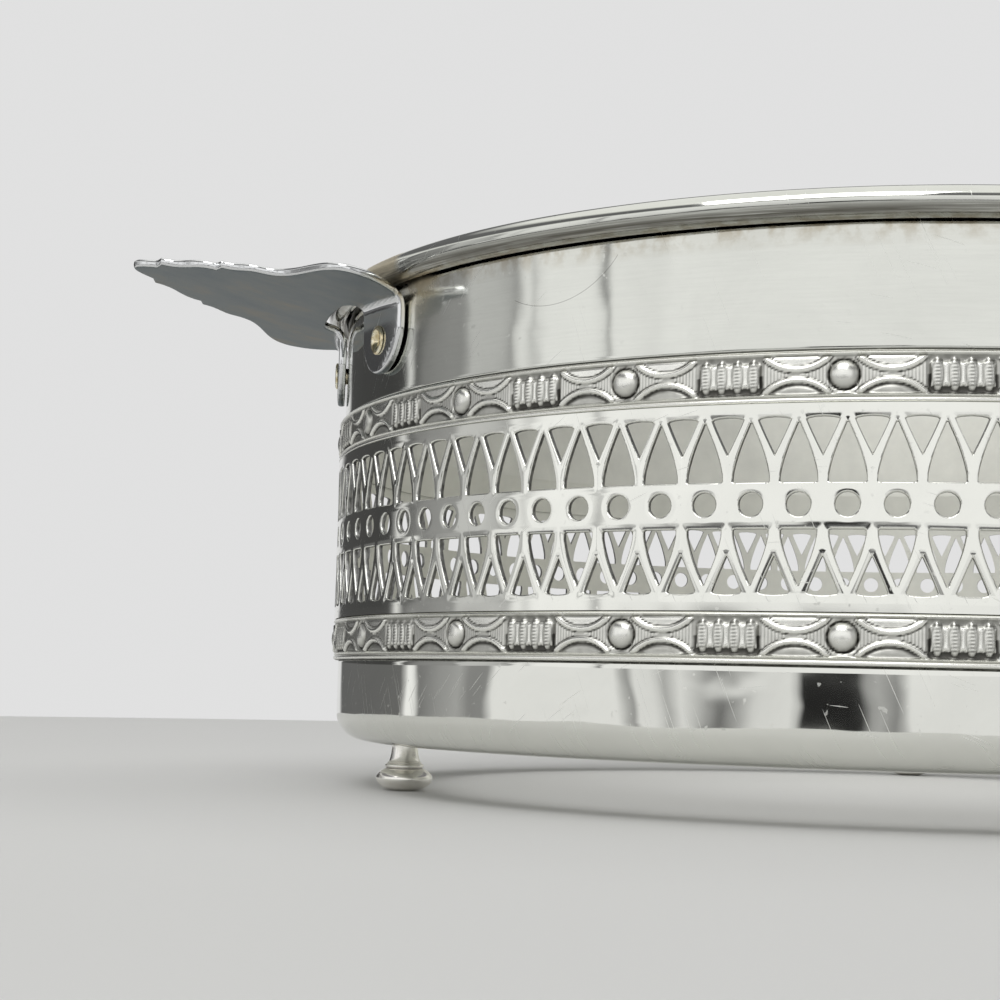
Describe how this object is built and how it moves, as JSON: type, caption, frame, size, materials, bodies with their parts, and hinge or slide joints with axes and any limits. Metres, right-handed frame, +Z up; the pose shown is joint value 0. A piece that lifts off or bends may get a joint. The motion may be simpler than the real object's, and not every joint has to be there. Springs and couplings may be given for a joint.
{
  "type": "casserole holder",
  "caption": "Round chromed sheet-metal holder for a covered casserole dish, with a pierced gallery between ornament strips, riveted side handles and small turned feet.",
  "frame": {"origin": "on the body's axis at the level of the feet's rests", "axes": "+Z up along the body's axis, X through the two handles, with the foot under a handle on -X"},
  "size_m": [0.2846, 0.2128, 0.0914],
  "materials": {
    "chrome_body": "mirror chrome plate with fine scratches and a little brown tarnish by the rim",
    "chrome_handle": "chrome plate, bright on the edges and duller underneath",
    "steel_wire": "plain drawn wire, closed in by the rolled rim",
    "brass_rivet": "worn brass with a dished head",
    "satin_foot": "worn satin plate, warm silver",
    "steel_screw": "plain slotted screw"
  },
  "bodies": {
    "root": {"body_shell": "chrome_body", "rim_wire": "steel_wire", "handle_left": "chrome_handle", "handle_right": "chrome_handle", "rivet_left_front": "brass_rivet", "rivet_left_back": "brass_rivet", "rivet_right_front": "brass_rivet", "rivet_right_back": "brass_rivet", "foot_left": "satin_foot", "foot_front_right": "satin_foot", "foot_back_right": "satin_foot", "foot_screw_left": "steel_screw", "foot_screw_front_right": "steel_screw", "foot_screw_back_right": "steel_screw"}
  },
  "joints": []
}
